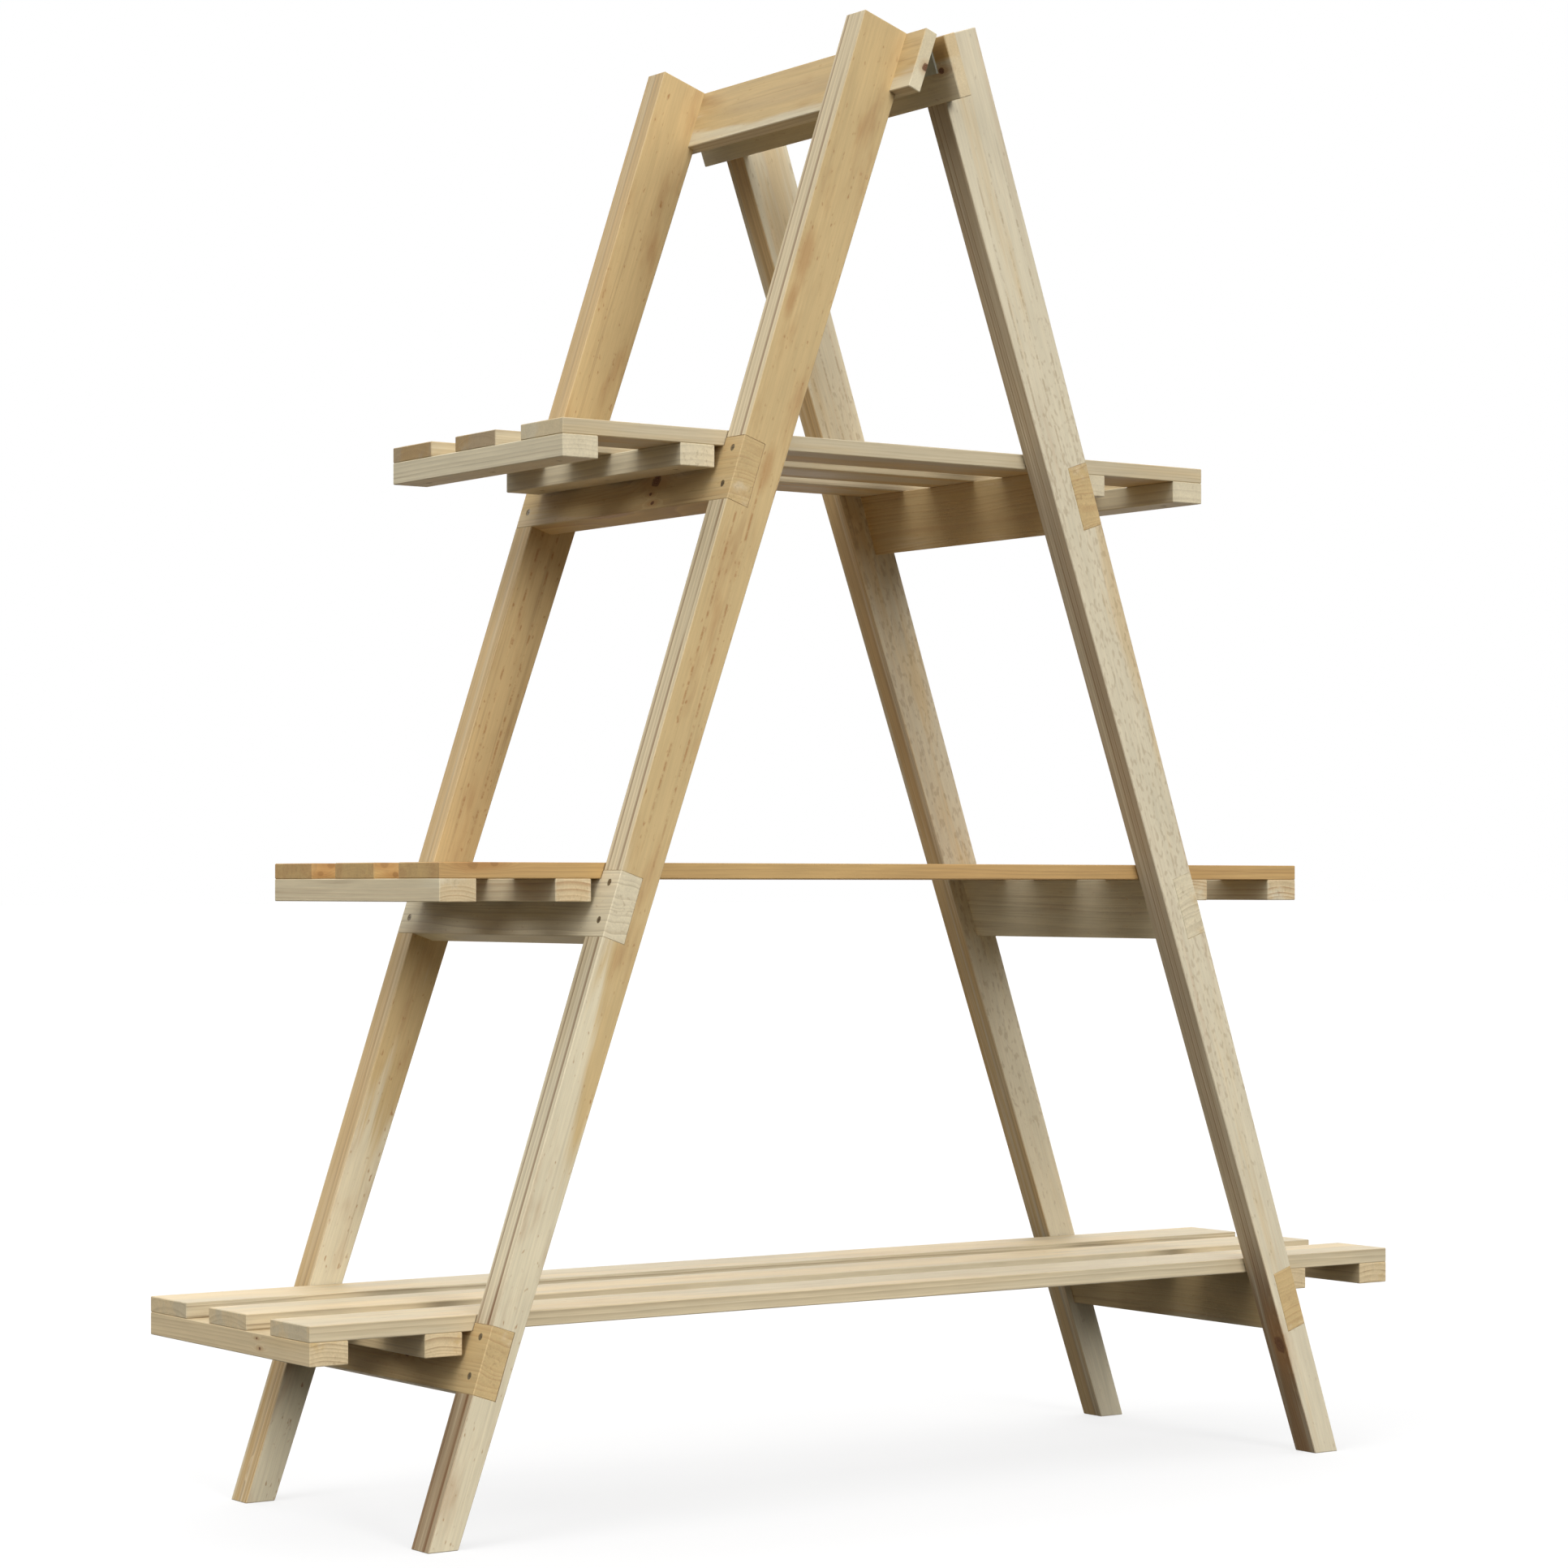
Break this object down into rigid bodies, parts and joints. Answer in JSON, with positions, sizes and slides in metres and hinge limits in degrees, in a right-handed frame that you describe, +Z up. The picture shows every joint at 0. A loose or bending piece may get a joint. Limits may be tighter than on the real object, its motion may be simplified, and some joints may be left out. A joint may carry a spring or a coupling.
{
  "type": "folding plant shelf",
  "caption": "Folding wooden A-frame of hinged ladders with slatted shelves that drop over the rungs, longer towards the floor, for standing pots on.",
  "frame": {"origin": "on the floor, midway between the feet, under the hinge line", "axes": "+Z up, +X along the shelves towards the right ladder, +Y from the front towards the back"},
  "size_m": [1.3612, 0.461, 1.4997],
  "materials": {
    "leg_wood": "planed, clear satin oil",
    "rung_wood": "planed, clear satin oil",
    "rail_wood": "planed, clear satin oil",
    "slat_wood": "planed, clear satin oil",
    "batten_wood": "planed, clear satin oil",
    "hinge_steel": "zinc plated",
    "screw_steel": "dull zinc"
  },
  "bodies": {
    "left_ladder": {"left_front_leg": "leg_wood", "left_back_leg": "leg_wood", "left_bottom_rung": "rung_wood", "left_middle_rung": "rung_wood", "left_top_rung": "rung_wood", "left_top_rail": "rail_wood", "left_front_hinge_leaf": "hinge_steel", "left_back_hinge_leaf": "hinge_steel", "left_rung_screws": "screw_steel", "left_rail_screws": "screw_steel", "left_hinge_screws": "screw_steel", "front_hinge_pin": "hinge_steel", "back_hinge_pin": "hinge_steel"},
    "right_ladder": {"right_front_leg": "leg_wood", "right_back_leg": "leg_wood", "right_bottom_rung": "rung_wood", "right_middle_rung": "rung_wood", "right_top_rung": "rung_wood", "right_top_rail": "rail_wood", "right_front_hinge_leaf": "hinge_steel", "right_back_hinge_leaf": "hinge_steel", "right_rung_screws": "screw_steel", "right_rail_screws": "screw_steel", "right_hinge_screws": "screw_steel"},
    "bottom_shelf": {"bottom_front_slat": "slat_wood", "bottom_middle_slat": "slat_wood", "bottom_back_slat": "slat_wood", "bottom_left_end_batten": "batten_wood", "bottom_left_stop_batten": "batten_wood", "bottom_right_stop_batten": "batten_wood", "bottom_right_end_batten": "batten_wood", "bottom_shelf_screws": "screw_steel"},
    "middle_shelf": {"middle_front_slat": "slat_wood", "middle_middle_slat": "slat_wood", "middle_back_slat": "slat_wood", "middle_left_end_batten": "batten_wood", "middle_left_stop_batten": "batten_wood", "middle_right_stop_batten": "batten_wood", "middle_right_end_batten": "batten_wood", "middle_shelf_screws": "screw_steel"},
    "top_shelf": {"top_front_slat": "slat_wood", "top_middle_slat": "slat_wood", "top_back_slat": "slat_wood", "top_left_end_batten": "batten_wood", "top_left_stop_batten": "batten_wood", "top_right_stop_batten": "batten_wood", "top_right_end_batten": "batten_wood", "top_shelf_screws": "screw_steel"}
  },
  "joints": [
    {"name": "frame_fold", "type": "hinge", "parent": "left_ladder", "child": "right_ladder", "pos_m": [0, 0, 1.47505], "axis": [0, 1, 0], "range_deg": [0, 39.5]},
    {"name": "bottom_shelf_lift", "type": "slide", "parent": "left_ladder", "child": "bottom_shelf", "axis": [0, 0, 1], "range_m": [0, 0.25]},
    {"name": "middle_shelf_lift", "type": "slide", "parent": "left_ladder", "child": "middle_shelf", "axis": [0, 0, 1], "range_m": [0, 0.25]},
    {"name": "top_shelf_lift", "type": "slide", "parent": "left_ladder", "child": "top_shelf", "axis": [0, 0, 1], "range_m": [0, 0.25]}
  ]
}
